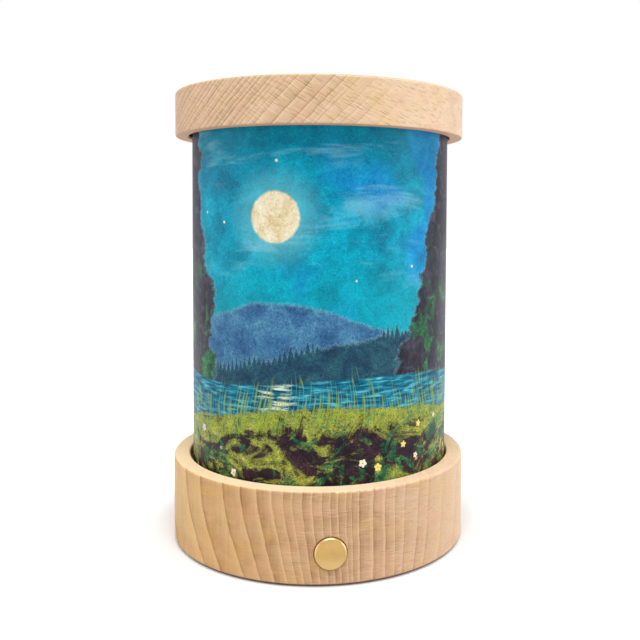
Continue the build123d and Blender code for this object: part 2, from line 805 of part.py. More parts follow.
tongue_inset = shell_wall + shell_fit
with BuildPart() as usb_tongue:
    with BuildSketch(looking_in(shell_end)):
        SlotOverall(shell_width - 2 * tongue_inset, shell_height - 2 * tongue_inset)
    extrude(amount=tongue_base)
    with BuildSketch(looking_in(shell_end + tongue_base)):
        Rectangle(tongue_width, tongue_thickness)
    extrude(amount=shell_length - tongue_base - tongue_recess)
usb_tongue.part.label = "usb_tongue"
export_step(usb_tongue.part, "parts/usb_tongue.step")


def lead(points):
    """A round lead along straight runs, joined by arcs as large as the runs allow."""
    corners = []
    for before, corner, after in zip(points, points[1:], points[2:]):
        arriving = Vector(*corner) - Vector(*before)
        leaving = Vector(*after) - Vector(*corner)
        turn = math.radians(arriving.get_angle(leaving))
        shorter = min(arriving.length, leaving.length)
        corners.append(bend_share * shorter / math.tan(turn / 2))
    print("lead bends", [round(radius, 1) for radius in corners])
    with BuildPart() as wire:
        with BuildLine() as route:
            FilletPolyline(*points, radius=corners)
        with BuildSketch(Plane(origin=route.line @ 0, z_dir=route.line % 0)):
            Circle(lead_diameter / 2)
        sweep()
    return wire


# Leads, in red and black pairs. Each route starts at a plug on the board
lead_height = connector_middle
over_battery = battery_top + lead_clearance + lead_diameter / 2
usb_x, light_x, cell_x = connector_places
for colour, side in (("red", -1), ("black", 1)):
    shift = side * lead_spacing / 2

    # Charging lead, over the battery to the socket in the back wall
    usb_lead = lead(
        [
            (usb_x + shift, plug_back, lead_height),
            (usb_x + shift, plug_back + lead_straight, lead_height),
            (usb_x + shift, battery_front - lead_diameter, over_battery),
            (shift, battery_back + lead_diameter / 2, over_battery),
            (shift, socket_inner_end - lead_straight, button_height),
            (shift, socket_inner_end, button_height),
        ]
    )
    usb_lead.part.label = f"usb_lead_{colour}"
    export_step(usb_lead.part, f"parts/usb_lead_{colour}.step")

    # Light lead, up through the web to the light board
    light_lead = lead(
        [
            (light_x + shift, plug_back, lead_height),
            (light_x + shift, plug_back + lead_straight, lead_height),
            (light_x + shift, plug_back + 2 * lead_straight, lead_height + lead_straight / 2),
            (light_x + shift, 0, lead_height + 2 * lead_straight),
            (light_x + shift, 0, flange_top),
        ]
    )
    light_lead.part.label = f"light_lead_{colour}"
    export_step(light_lead.part, f"parts/light_lead_{colour}.step")

    # Battery lead, to the pouch's sealed lip
    battery_lead = lead(
        [
            (cell_x + shift, plug_back, lead_height),
            (cell_x + shift, plug_back + lead_straight, lead_height),
            (cell_x + shift, lip_front - lead_straight, lip_height),
            (cell_x + shift, lip_front, lip_height),
        ]
    )
    battery_lead.part.label = f"battery_lead_{colour}"
    export_step(battery_lead.part, f"parts/battery_lead_{colour}.step")
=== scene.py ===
# The looks of the table lantern. Lengths here are metres in the scene and millimetres inside the
# materials, whose patterns are worked out from the place on the object.

import math

import bpy
from mathutils import Matrix, Vector, noise


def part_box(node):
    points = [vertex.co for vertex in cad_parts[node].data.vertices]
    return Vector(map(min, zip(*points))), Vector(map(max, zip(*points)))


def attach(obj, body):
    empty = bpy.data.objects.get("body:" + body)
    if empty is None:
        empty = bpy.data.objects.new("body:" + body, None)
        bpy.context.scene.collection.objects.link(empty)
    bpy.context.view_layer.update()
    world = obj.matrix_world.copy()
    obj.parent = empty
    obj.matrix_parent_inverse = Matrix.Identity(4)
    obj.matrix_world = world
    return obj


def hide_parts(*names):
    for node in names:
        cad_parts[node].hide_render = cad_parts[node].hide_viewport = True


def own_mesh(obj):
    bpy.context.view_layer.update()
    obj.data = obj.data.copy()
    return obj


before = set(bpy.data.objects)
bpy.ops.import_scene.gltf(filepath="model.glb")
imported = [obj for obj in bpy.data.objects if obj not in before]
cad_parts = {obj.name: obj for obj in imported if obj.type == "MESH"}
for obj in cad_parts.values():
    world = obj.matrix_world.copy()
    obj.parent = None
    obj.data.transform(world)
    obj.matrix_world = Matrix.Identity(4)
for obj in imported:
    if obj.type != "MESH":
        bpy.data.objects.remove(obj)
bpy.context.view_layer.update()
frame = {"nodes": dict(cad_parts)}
nodes = frame["nodes"]

MM = 0.001
UPWARD = Vector((0, 0, 1))


def low(node):
    """The lowest corner of a node's box, in millimetres."""
    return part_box(node)[0] / MM


def high(node):
    """The highest corner of a node's box, in millimetres."""
    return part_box(node)[1] / MM


base_radius = high("base_body").x
base_top = high("base_body").z
base_height = base_top - low("base_body").z
shade_radius = (high("picture_sleeve").x - low("picture_sleeve").x) / 2
shade_middle = (high("picture_sleeve").x + low("picture_sleeve").x) / 2


# Camera, fitted to the outlines in the photograph
photo_side = 640
focal_pixels = 811.30
centre_pixel_x = 352.48
centre_pixel_y = 254.59
camera_place = Vector((-22.43, -317.49, 121.55)) * MM
camera_yaw = 0.1112
camera_pitch = -0.0442
camera_roll = 0.0046


def make_camera():
    forward = Vector((
        math.sin(camera_yaw) * math.cos(camera_pitch),
        math.cos(camera_yaw) * math.cos(camera_pitch),
        math.sin(camera_pitch),
    ))
    level = Vector((math.cos(camera_yaw), -math.sin(camera_yaw), 0))
    over = level.cross(forward)
    right = level * math.cos(camera_roll) + over * math.sin(camera_roll)
    up = right.cross(forward)
    data = bpy.data.cameras.new("camera")
    data.sensor_width = 36
    data.lens = focal_pixels / photo_side * data.sensor_width
    data.shift_x = (photo_side / 2 - centre_pixel_x) / photo_side
    data.shift_y = (centre_pixel_y - photo_side / 2) / photo_side
    data.clip_start = 0.01
    data.clip_end = 20
    camera = bpy.data.objects.new("camera", data)
    camera.matrix_world = Matrix.Translation(camera_place) @ Matrix(
        (right, up, -forward)
    ).transposed().to_4x4()
    bpy.context.scene.collection.objects.link(camera)
    bpy.context.scene.camera = camera


make_camera()


# Pieces with a soft or springy shape, in place of their solids


def skin(name, loops, closed, body, node):
    """A smooth piece over loops of points in millimetres. It stands for a node and rides on a body."""
    sides = len(loops[0])
    faces = []
    for ring in range(len(loops) if closed else len(loops) - 1):
        start = ring * sides
        end = (ring + 1) % len(loops) * sides
        for side in range(sides):
            after = (side + 1) % sides
            faces.append((start + side, start + after, end + after, end + side))
    if not closed:
        faces.append(tuple(range(sides - 1, -1, -1)))
        faces.append(tuple(range((len(loops) - 1) * sides, len(loops) * sides)))
    mesh = bpy.data.meshes.new(name)
    mesh.from_pydata([point * MM for loop in loops for point in loop], [], faces)
    mesh.polygons.foreach_set("use_smooth", [len(face) == 4 for face in faces])
    piece = bpy.data.objects.new(name, mesh)
    bpy.context.scene.collection.objects.link(piece)
    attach(piece, body)
    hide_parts(node)
    nodes[node] = piece
    return piece


def return_spring():
    """Round wire coiled between the cap and the guide, built at one length: the coil is not made to
    shorten as the button is pressed.
    """
    wire_radius = 0.3
    turns = 4
    steps = 48  # a turn
    sides = 12
    lowest = low("button_spring")
    highest = high("button_spring")
    length = highest.y - lowest.y
    coil_radius = (highest.x - lowest.x) / 2 - wire_radius
    middle = (highest + lowest) / 2
    along = Vector((0, 1, 0))
    loops = []
    for step in range(turns * steps + 1):
        angle = 2 * math.pi * step / steps
        outward = Vector((math.cos(angle), 0, math.sin(angle)))
        share = step / (turns * steps) - 0.5
        centre = middle + outward * coil_radius + along * share * (length - 2 * wire_radius)
        loop = []
        for side in range(sides):
            around = 2 * math.pi * side / sides
            loop.append(centre + (outward * math.cos(around) + along * math.sin(around)) * wire_radius)
        loops.append(loop)
    spring = skin("return_spring", loops, False, "base", "button_spring")
    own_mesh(spring)


def foot_felt():
    """A ring of pressed felt with soft, slightly uneven cut edges."""
    width = 6.8
    steps = 240
    sides = 28
    rounding = 0.25
    unevenness = 0.07
    waves_round = 21
    waves_across = 3
    highest = high("foot_pad")
    thickness = highest.z - low("foot_pad").z
    loops = []
    for step in range(steps):
        angle = 2 * math.pi * step / steps
        outward = Vector((math.cos(angle), math.sin(angle), 0))
        loop = []
        for side in range(sides):
            around = -2 * math.pi * side / sides
            reach = math.copysign(abs(math.cos(around)) ** rounding, math.cos(around))
            rise = math.copysign(abs(math.sin(around)) ** rounding, math.sin(around))
            wave = noise.noise(outward * waves_round + UPWARD * (rise + reach * waves_across))
            reach = reach * (1 - unevenness * (wave + 1) / width)
            radius = highest.x - width / 2 + reach * width / 2
            loop.append(outward * radius + UPWARD * ((1 + rise) * thickness / 2))
        loops.append(loop)
    felt_ring = skin("foot_felt", loops, True, "base", "foot_pad")


return_spring()
foot_felt()


# Node trees, written as arithmetic


def feed(tree, socket, value):
    """Sets a socket, or links it if the value comes from a node."""
    if isinstance(value, Field):
        tree.links.new(value.socket, socket)
    elif isinstance(value, tuple) and len(socket.default_value) > len(value):
        socket.default_value = (*value, 1)
    else:
        socket.default_value = value


class Field:
    """A quantity that varies over a surface: a node's output, with arithmetic."""

    def __init__(self, tree, socket):
        self.tree = tree
        self.socket = socket

    def math(self, operation, *others):
        node = self.tree.nodes.new("ShaderNodeMath")
        node.operation = operation
        for place, value in zip(node.inputs, (self, *others)):
            feed(self.tree, place, value)
        return Field(self.tree, node.outputs[0])

    def __add__(self, other):
        return self.math("ADD", other)

    def __radd__(self, other):
        return self.math("ADD", other)

    def __sub__(self, other):
        return self.math("SUBTRACT", other)

    def __rsub__(self, other):
        return (self * -1) + other

    def __mul__(self, other):
        return self.math("MULTIPLY", other)

    def __truediv__(self, other):
        return self.math("DIVIDE", other)

    def __neg__(self):
        return self * -1

    def abs(self):
        return self.math("ABSOLUTE")

    def sin(self):
        return self.math("SINE")

    def cos(self):
        return self.math("COSINE")

    def fract(self):
        return self.math("FRACT")

    def floor(self):
        return self.math("FLOOR")

    def power(self, exponent):
        return self.math("POWER", exponent)

    def sqrt(self):
        return self.math("SQRT")

    def least(self, other):
        return self.math("MINIMUM", other)

    def most(self, other):
        return self.math("MAXIMUM", other)

    def step(self, start, end):
        """Rises smoothly from 0 at start to 1 at end. Start may be the larger."""
        if not isinstance(start, Field) and not isinstance(end, Field) and start > end:
            return 1 - self.step(end, start)
        node = self.tree.nodes.new("ShaderNodeMapRange")
        node.interpolation_type = "SMOOTHSTEP"
        feed(self.tree, node.inputs["Value"], self)
        feed(self.tree, node.inputs["From Min"], start)
        feed(self.tree, node.inputs["From Max"], end)
        return Field(self.tree, node.outputs["Result"])


def srgb(code):
    """A screen colour such as "D2AD62" as linear light."""
    levels = [int(code[i:i + 2], 16) / 255 for i in (0, 2, 4)]
    return tuple(v / 12.92 if v <= 0.04045 else ((v + 0.055) / 1.055) ** 2.4 for v in levels)


class Finish:
    """One material: a Principled shader and the nodes that drive it."""

    def __init__(self, name):
        self.material = bpy.data.materials.new(name)
        self.material.use_nodes = True
        self.tree = self.material.node_tree
        self.shader = self.tree.nodes["Principled BSDF"]
        coordinates = self.tree.nodes.new("ShaderNodeTexCoord")
        scaled = self.tree.nodes.new("ShaderNodeVectorMath")
        scaled.operation = "SCALE"
        scaled.inputs["Scale"].default_value = 1 / MM
        self.tree.links.new(coordinates.outputs["Object"], scaled.inputs[0])
        self.place = Field(self.tree, scaled.outputs[0])
        self.normal = Field(self.tree, coordinates.outputs["Normal"])
        self.x, self.y, self.z = self.split(self.place)

    def split(self, vector):
        node = self.tree.nodes.new("ShaderNodeSeparateXYZ")
        feed(self.tree, node.inputs[0], vector)
        return [Field(self.tree, out) for out in node.outputs]

    def join(self, x, y, z=0.0):
        node = self.tree.nodes.new("ShaderNodeCombineXYZ")
        for socket, value in zip(node.inputs, (x, y, z)):
            feed(self.tree, socket, value)
        return Field(self.tree, node.outputs[0])

    def dot(self, vector, direction):
        node = self.tree.nodes.new("ShaderNodeVectorMath")
        node.operation = "DOT_PRODUCT"
        feed(self.tree, node.inputs[0], vector)
        node.inputs[1].default_value = direction
        return Field(self.tree, node.outputs["Value"])

    def noise(self, where, scale=1.0, detail=2.0, roughness=0.5, distortion=0.0):
        """Perlin noise round 0.5. Scale is features per millimetre of where."""
        node = self.tree.nodes.new("ShaderNodeTexNoise")
        feed(self.tree, node.inputs["Vector"], where)
        node.inputs["Scale"].default_value = scale
        node.inputs["Detail"].default_value = detail
        node.inputs["Roughness"].default_value = roughness
        node.inputs["Distortion"].default_value = distortion
        return Field(self.tree, node.outputs[0])

    def cells(self, where, scale=1.0):
        """Distance to the nearest of scattered points, that point's place, and its random colour."""
        node = self.tree.nodes.new("ShaderNodeTexVoronoi")
        feed(self.tree, node.inputs["Vector"], where)
        node.inputs["Scale"].default_value = scale
        return [Field(self.tree, node.outputs[out]) for out in ("Distance", "Position", "Color")]

    def count(self, where, places):
        """Counts the places passed, with even steps between them."""
        node = self.tree.nodes.new("ShaderNodeFloatCurve")
        curve = node.mapping.curves[0]
        span = places[-1] - places[0]
        last = len(places) - 1
        while len(curve.points) < len(places):
            curve.points.new(0.5, 0.5)
        for passed, (point, place) in enumerate(zip(curve.points, places)):
            point.location = ((place - places[0]) / span, passed / last)
            point.handle_type = "VECTOR"
        node.mapping.update()
        feed(self.tree, node.inputs["Value"], (where - places[0]) / span)
        return Field(self.tree, node.outputs[0]) * last

    def mix(self, factor, first, second, blend="MIX"):
        node = self.tree.nodes.new("ShaderNodeMix")
        node.data_type = "RGBA"
        node.blend_type = blend
        feed(self.tree, node.inputs[0], factor)
        feed(self.tree, node.inputs[6], first)
        feed(self.tree, node.inputs[7], second)
        return Field(self.tree, node.outputs[2])

    def shades(self, value, *stops):
        """A colour ramp through (place, colour code) stops."""
        node = self.tree.nodes.new("ShaderNodeValToRGB")
        ramp = node.color_ramp
        while len(ramp.elements) < len(stops):
            ramp.elements.new(0.5)
        for element, (place, code) in zip(ramp.elements, stops):
            element.position = place
            element.color = (*srgb(code), 1)
        feed(self.tree, node.inputs[0], value)
        return Field(self.tree, node.outputs[0])

    def bump(self, height, strength=1.0):
        """Relief from a height in millimetres."""
        node = self.tree.nodes.new("ShaderNodeBump")
        node.inputs["Strength"].default_value = strength
        node.inputs["Distance"].default_value = MM
        feed(self.tree, node.inputs["Height"], height)
        self.set(Normal=Field(self.tree, node.outputs[0]))

    def set(self, **inputs):
        """Sets the shader's inputs. A double underscore stands for a space in a name."""
        for name, value in inputs.items():
            feed(self.tree, self.shader.inputs[name.replace("__", " ")], value)

    def on(self, *names):
        for name in names:
            slots = nodes[name].data.materials
            slots.clear()
            slots.append(self.material)


# Turned beech


class Beech(Finish):
    """Solid beech. The fibres point turn degrees off the front, towards +X, and the growth rings
    lean back lean degrees from upright."""

    def __init__(self, name, turn, lean):
        super().__init__(name)
        turn = math.radians(turn)
        lean = math.radians(lean)
        self.fibre = Vector((math.sin(turn), -math.cos(turn), 0))
        self.level = Vector((math.cos(turn), math.sin(turn), 0))
        self.axial = self.dot(self.place, self.fibre)
        self.radial = self.dot(self.place, self.level * math.cos(lean) + UPWARD * math.sin(lean))
        self.tangent = self.dot(self.place, UPWARD * math.cos(lean) - self.level * math.sin(lean))
        self.end_grain = self.dot(self.normal, self.fibre).abs()

    def grow(self, ring_places, bent, dark_start, luck, slope, edge, strength):
        """Growth rings that start at ring_places along bent, in millimetres. Each has a sharp edge,
        and its tone changes evenly to the next edge: it is darkest at its start, or else at its
        end. Luck is the step and the start in the noise that makes some rings stronger than
        others. Slope and edge are how dark these two are, and strength varies over the wood."""
        radial, tangent, axial = self.radial, self.tangent, self.axial
        wander = self.noise(self.join(radial * 0.4, tangent, axial * 0.3), 0.06, 2) - 0.5
        jitter = self.noise(self.join(radial * 0.6, tangent * 0.4, axial * 0.1), 0.9, 2) - 0.5
        turns = self.count(bent + wander * 1.6 + jitter * 0.5, ring_places)
        number = turns.floor()
        self.ring = turns - number
        if not dark_start:
            self.ring = 1 - self.ring
        luck_step, luck_start = luck
        chance = self.noise(self.join(number * luck_step + luck_start, 0.5, 0.5), 1.0, 0)
        self.ring_strength = strength * (chance.step(0.28, 0.68) * 0.7 + 0.62)
        line = self.ring.step(0.16, 0.02) * self.ring.step(0.0, 0.04)
        faint = (self.noise(self.join(radial, tangent * 0.04, 0.0), 1.0, 2) - 0.45).most(0.0)
        streaks = self.noise(self.join(radial * 2.8, tangent * 0.10, axial * 0.1), 1.0, 2)
        streaks = (streaks - 0.5).most(0.0)
        self.dark = (1 - self.ring).power(1.2) * slope + line * edge + faint * 0.7 + streaks * 0.9

    def spread_rays(self, code, strength, lean, levelling):
        """Rays: thin spindles, evenly scattered, that lie along the fibres and across the rings.
        They lean lean degrees from level in the middle, and level out towards the right."""
        lean = math.radians(lean)
        along_ray = self.level * math.cos(lean) + UPWARD * math.sin(lean)
        across_ray = UPWARD * math.cos(lean) - self.level * math.sin(lean)
        waver = (self.noise(self.place, 0.20, 1) - 0.5) * 0.7
        bend = self.dot(self.place, self.level).power(2) * levelling
        across = self.dot(self.place, across_ray) - bend + waver

        def spindles(length, width, depth, size):
            spread = self.join(
                self.dot(self.place, along_ray / length),
                across / width,
                self.dot(self.place, self.fibre / depth),
            )
            return self.cells(spread)[0].step(size, size * 0.55)

        edge_on = 1 - self.dot(self.normal, across_ray).power(2) * 0.9
        edge_on = edge_on * (self.end_grain * 0.5 + 0.5)
        long_rays = spindles(14.0, 0.46, 6.0, 0.33) * 0.5
        short_rays = spindles(8.0, 0.46, 3.0, 0.29) * 0.85
        self.dark_rays = (long_rays + short_rays) * edge_on
        self.pale_rays = spindles(9.0, 0.60, 4.0, 0.36) * edge_on
        self.ray_code = code
        self.ray_strength = strength

    def paint(self, tones, left_tint, painted_top_shading):
        """Tones are long grain, end grain and the dark of a ring. The left tint is a colour and the
        two places between which it comes in. The painted top shading is a tone painted on faces that
        point up, as painted light where it is paler and painted shade where it is darker: a colour,
        its strength, and how much of it fades to the right. Faces that point down get painted shade."""
        light, mean, deep = (srgb(code) for code in tones)
        cloud = self.noise(self.join(self.radial * 0.5, self.tangent, self.axial * 0.3), 0.12, 3)
        blush = self.join(self.radial * 0.8, self.tangent, self.axial * 0.3 + 40)
        blush = self.noise(blush, 0.15, 2)
        grit = self.join(self.radial / 0.5, self.tangent / 0.5, self.axial / 2.5)
        grit = self.noise(grit, 1, 2)

        colour = self.mix(self.end_grain.power(1.4), light, mean)
        ringed = self.dark * self.ring_strength * (self.end_grain * 0.8 + 0.2)
        colour = self.mix(ringed.least(1.0), colour, deep)
        colour = self.mix(cloud.step(0.3, 0.7) * 0.22, colour, light)
        colour = self.mix(blush.step(0.50, 0.68) * 0.35, colour, srgb("DCAE8E"))
        colour = self.mix(blush.step(0.48, 0.32) * 0.30, colour, srgb("DDB476"))
        pale_line = self.ring.step(0.70, 0.95) * self.ring_strength * self.end_grain
        colour = self.mix(pale_line * 0.22, colour, light)
        colour = self.mix(self.pale_rays * self.ray_strength * 0.6, colour, light)
        rayed = (self.dark_rays * self.ray_strength).least(0.7)
        colour = self.mix(rayed, colour, srgb(self.ray_code))
        colour = self.mix((grit - 0.35).most(0.0) * 0.4, colour, deep)
        tint, tint_start, tint_end = left_tint
        tint = self.mix(self.x.step(tint_start, tint_end), (1.0, 1.0, 1.0), srgb(tint))
        colour = self.mix(1.0, colour, tint, "MULTIPLY")

        # Painted light and shade: another tone on top, and painted shade underneath, warmer and darker
        facing = self.split(self.normal)[2]
        top_shading_code, top_shading_strength, top_shading_fade = painted_top_shading
        # a tone painted on faces that point up, by how light falls on them
        painted_top = facing.step(0.6, 1.0) * (1 - self.x.step(0, 42) * top_shading_fade) * top_shading_strength
        colour = self.mix(painted_top, colour, srgb(top_shading_code))
        # painted shade: faces that point down turn warmer and darker
        colour = self.mix((-facing).step(0.5, 0.95) * 0.9, colour, srgb("D6A27C"))
        self.set(Base__Color=colour, Roughness=grit * 0.14 + 0.50, Specular__IOR__Level=0.18)
        self.bump(self.dark * -0.004 + self.dark_rays * -0.012 + grit * -0.035, 0.9)


def base_beech():
    """The base's rings curve towards the left below, and a little towards the right."""
    wood = Beech("beech_base", turn=-3.9, lean=0)
    depth = ((base_top - wood.z) / base_height).most(0.0).power(1.8)
    wood.grow(
        (-60, -47.7, -41.6, -32.8, -26.3, -20.6, -15.4, -11.7, -8.7, -5.5, -2.2, 1.0, 3.8, 6.3, 9.1,
         10.8, 13.2, 18.1, 22.3, 25.8, 29.3, 34.6, 38.3, 44.3, 50.8, 60),
        bent=wood.radial - depth * (wood.x.step(17, -34) * 8 - wood.x.step(19, 31) * 2.7),
        dark_start=True,
        luck=(7.31, 0),
        slope=0.64,
        edge=0.50,
        strength=1 + wood.x.step(-12, -40) * 0.35 - wood.x.step(12, 40) * 0.6,
    )
    ray_strength = 0.40 - wood.x.step(2, -26) * 0.27 - wood.x.step(24, 46) * 0.18
    wood.spread_rays("8E623B", ray_strength, lean=0, levelling=0)
    wood.paint(
        tones=("F3D4B2", "CBA582", "A0754F"),
        left_tint=("FFF6D4", 20, -52),
        # painted light: the base's top faces are paler, fading out towards the right
        painted_top_shading=("FEE2BD", 0.75, 0.9),
    )
    wood.on("base_body")


def lid_beech():
    """The lid's rings are close together at the left and wider apart towards the right."""
    wood = Beech("beech_lid", turn=-8, lean=-44)
    left_strength = 1 + wood.x.step(-46, -38) * 0.45 - wood.x.step(-32, -20) * 0.50
    wood.grow(
        (-160, -157.4, -155, -152, -149.6, -148.5, -147.2, -145.2, -143.8, -141.7, -140.4, -139,
         -136.8, -135.9, -134.6, -133.6, -131.9, -130.2, -128.6, -127.4, -125, -123.7, -122.4,
         -120.8, -118.9, -114.5, -110.1, -107.2, -105.4, -104.2, -100.4, -98, -95, -90, -84, -77,
         -70, -62),
        bent=wood.radial,
        dark_start=False,
        luck=(3.37, 0.4),
        slope=0.52,
        edge=0.62,
        strength=left_strength - wood.x.step(-15, 5) * 0.30 - wood.x.step(0, 26) * 0.5,
    )
    wood.spread_rays("86603A", 0.62, lean=-30, levelling=0.0029)
    wood.paint(
        tones=("F4D9BD", "E2C19C", "AC835B"),
        left_tint=("F3EBE9", -36, -54),
        # painted shade: the lid's top faces are darker
        painted_top_shading=("CBA579", 0.40, 0),
    )
    wood.on("lid")


base_beech()
lid_beech()


# Simple finishes for the other pieces, each with its own grain


def moulded(name, code, roughness, grain=0.02, size=0.35):
    """Moulded plastic with a fine texture and slightly uneven colour."""
    plastic = Finish(name)
    fine = plastic.noise(plastic.place, 1 / size, 2)
    cloud = plastic.noise(plastic.place, 0.08, 2)
    darker = tuple(v * 0.8 for v in srgb(code))
    colour = plastic.mix(cloud.step(0.3, 0.7) * 0.25, srgb(code), darker)
    plastic.set(Base__Color=colour, Roughness=fine * 0.15 + (roughness - 0.07))
    plastic.bump(fine * grain)
    return plastic


moulded("black_plastic", "17171A", 0.5).on(
    "bottom_plate", "usb_housing", "usb_tongue", "switch_body", "switch_shroud"
)
moulded("white_plastic", "E8E7E2", 0.45).on("led_carrier", "connector_sockets", "connector_plugs")
moulded("red_plastic", "A01C18", 0.4).on("switch_plunger")
moulded("green_board", "12502C", 0.35).on("control_board")
moulded("white_board", "E9EBE8", 0.35).on("led_board")
moulded("phosphor", "EFCB62", 0.3).on("led_chips")
moulded("chip_black", "161618", 0.5).on("control_chips")
moulded("ferrite", "323234", 0.6).on("board_inductor")
moulded("foam", "2A2A2C", 0.9, grain=0.2, size=0.6).on("battery_foam")
moulded("red_cover", "9C1512", 0.4).on("usb_lead_red", "light_lead_red", "battery_lead_red")
moulded("black_cover", "121212", 0.4).on("usb_lead_black", "light_lead_black", "battery_lead_black")


def pressed_felt():
    """Matted wool fibres, with painted shade in the hollows of the relief."""
    wool = Finish("pad_felt")
    strands = wool.noise(wool.place, 2.2, 2, 0.5, 2.5)
    strand = (strands - 0.5).abs().step(0.06, 0.0)
    hollow = wool.noise(wool.place, 0.9, 3)
    # painted shade: darker where the relief is low
    colour = wool.mix(hollow.step(0.35, 0.65), srgb("6C5F59"), srgb("85766E"))
    colour = wool.mix(strand * 0.5, colour, srgb("A39389"))
    wool.set(Base__Color=colour, Roughness=hollow * 0.1 + 0.88, Sheen__Weight=0.25)
    wool.bump(strand * 0.05 + hollow * 0.10)
    wool.on("foot_pad")


pressed_felt()


def metal(name, code, roughness, scratch=0.004, painted_highlight=None, **inputs):
    """Metal with fine scratches and slight tarnish, and a painted highlight, paler, where the given
    mask function is 1.
    """
    piece = Finish(name)
    scratches = piece.noise(piece.join(piece.x / 0.12, piece.y / 0.12, piece.z / 2.5), 1, 3)
    tarnish = piece.noise(piece.place, 0.5, 3)
    darker = tuple(v * 0.78 for v in srgb(code))
    colour = piece.mix(tarnish.step(0.4, 0.75) * 0.35, srgb(code), darker)
    if painted_highlight:
        # painted highlight: the colour turns paler where the mask is 1
        colour = piece.mix(painted_highlight(piece), colour, srgb("EACB8C"))
    piece.set(Base__Color=colour, Metallic=1.0, Roughness=tarnish * 0.12 + (roughness - 0.06), **inputs)
    piece.bump(scratches * scratch)
    return piece


def cap_painted_highlight(piece):
    """A painted highlight on the upper edge of the button's cap, and a painted reflection, paler, on
    the lower part of its face.
    """
    cap_radius = high("push_button").x
    height = piece.z - (low("push_button").z + high("push_button").z) / 2
    radius = (piece.x.power(2) + height.power(2)).sqrt()
    upper_edge_highlight = radius.step(cap_radius - 0.9, cap_radius - 0.1) * height.step(-3.5, 0)
    return upper_edge_highlight * 0.50 + height.step(0.5, -5) * 0.42


# the cap gets a painted highlight on its upper edge and a painted reflection on its lower face
metal("polished_brass", "AA8642", 0.36, painted_highlight=cap_painted_highlight, Coat__Weight=1.0, Coat__Roughness=0.18).on(
    "push_button", "button_guide"
)
metal("steel", "B4B4B6", 0.35).on(
    "plate_screws", "carrier_screws", "board_screws", "button_clip", "button_spring", "usb_shell"
)
metal("foil", "C4C6CA", 0.3, scratch=0.02).on("battery_cell", "board_capacitor")


def opal():
    """Milky acrylic, a little uneven."""
    acrylic = Finish("opal_acrylic")
    haze = acrylic.noise(acrylic.place, 0.06, 2)
    grain = acrylic.noise(acrylic.place, 2.5, 2)
    colour = acrylic.mix(haze.step(0.3, 0.7), srgb("D8D8D3"), srgb("D4D5D0"))
    acrylic.set(Base__Color=colour, Roughness=haze * 0.1 + grain * 0.06 + 0.2)
    acrylic.on("diffuser_tube", "led_dome")


opal()


# Printed sheet: a picture in felted wool of a moonlit lake among hills


flap_reach = 4.5  # how far the sheet's cut edge lies left of the back's middle line
moon_u = -19
moon_v = 90
crag_foot = 28


class Sheet(Finish):
    """The printed sheet. A place on it is u, to the right of the middle of the front, and v, above
    the base, both in millimetres. The picture is painted in layers."""

    def __init__(self, name):
        super().__init__(name)
        self.across = self.x - shade_middle
        turn = self.across.math("ARCTAN2", -self.y)
        self.cut_edge = flap_reach / shade_radius - math.pi
        past_cut = turn.step(self.cut_edge + 0.0002, self.cut_edge)
        self.turn = turn + past_cut * (2 * math.pi)
        self.u = self.turn * shade_radius
        self.v = self.z - base_top
        self.at = self.join(self.u, self.v)
        fine_fuzz = self.noise(self.at, 2.2, 2) - 0.5
        self.fuzz = (self.noise(self.at, 0.5, 3, 0.6, 0.8) - 0.5) * 3.2 + fine_fuzz * 1.4
        self.swell = (self.noise(self.join(self.u, 0.0), 0.022, 2) - 0.5) * 26
        long_hair = self.fibres(self.at, 0.45, 0.05)
        self.light_hair = long_hair * 0.5 + self.fibres(self.at, 1.0, 0.09) * 0.5
        self.dark_hair = self.fibres(self.join(self.u + 50, self.v), 0.55, 0.06)
        self.leaves = self.felt(
            self.at, 2.4,
            (0.28, "0C261B"), (0.44, "1B5236"), (0.58, "2E8450"), (0.74, "7FB247"), (0.88, "B9CF58"),
        )

    def felt(self, at, scale, *stops):
        """Carded wool: soft clouds of colour with curly fibres through them."""
        cloud = self.noise(at, 0.09 * scale, 4, 0.62, 0.6)
        curls = self.noise(at, 0.8, 3, 0.65, 2.0)
        return self.shades(cloud * 0.85 + curls * 0.75 - 0.3, *stops)

    def fibres(self, at, scale, thin, twist=2.2):
        """Thin curly lines, 1 along them and 0 between."""
        wave = self.noise(at, scale, 1, 0.5, twist)
        return (wave - 0.5).abs().step(thin, 0.0)

    def paint(self, strength, tone):
        """Lays a tone over the picture: a colour code, or a colour that varies."""
        colour = srgb(tone) if isinstance(tone, str) else tone
        self.picture = self.mix(strength, self.picture, colour)


def paint_sky(sheet):
    """Teal, bluer in places and deeper above, with clouds that are drawn out sideways."""
    u, v = sheet.u, sheet.v
    sheet.picture = sheet.felt(
        sheet.at, 1.0,
        (0.26, "005876"), (0.40, "007B98"), (0.54, "0099B6"), (0.68, "06B4CF"), (0.84, "38D0E4"),
    )
    blue = sheet.felt(
        sheet.at, 1.2,
        (0.26, "0A589C"), (0.42, "0E7ABE"), (0.56, "1496D4"), (0.72, "2CB0E6"), (0.86, "6CCDF2"),
    )
    patch = sheet.noise(sheet.at, 0.028, 2, 0.5, 0.4) + (u - 4) * 0.003
    sheet.paint((patch + sheet.fuzz * 0.01).step(0.50, 0.60), blue)
    sheet.paint(v.step(88, 50) * 0.35, "12AFB0")
    sheet.paint(v.step(84, 118) * 0.35, "0A5A80")
    drift = sheet.noise(sheet.join(u * 0.25, v), 0.085, 4, 0.6, 0.5)
    cloud = drift.step(0.54, 0.70) * v.step(60, 76)
    sheet.paint(cloud * 0.35, "A9D5DF")
    wisps = cloud * 0.45 + 0.34 + v.step(74, 50) * 0.2
    sheet.paint(sheet.light_hair * wisps, "10C0DE")
    sheet.paint(sheet.dark_hair * 0.25, "064A6C")


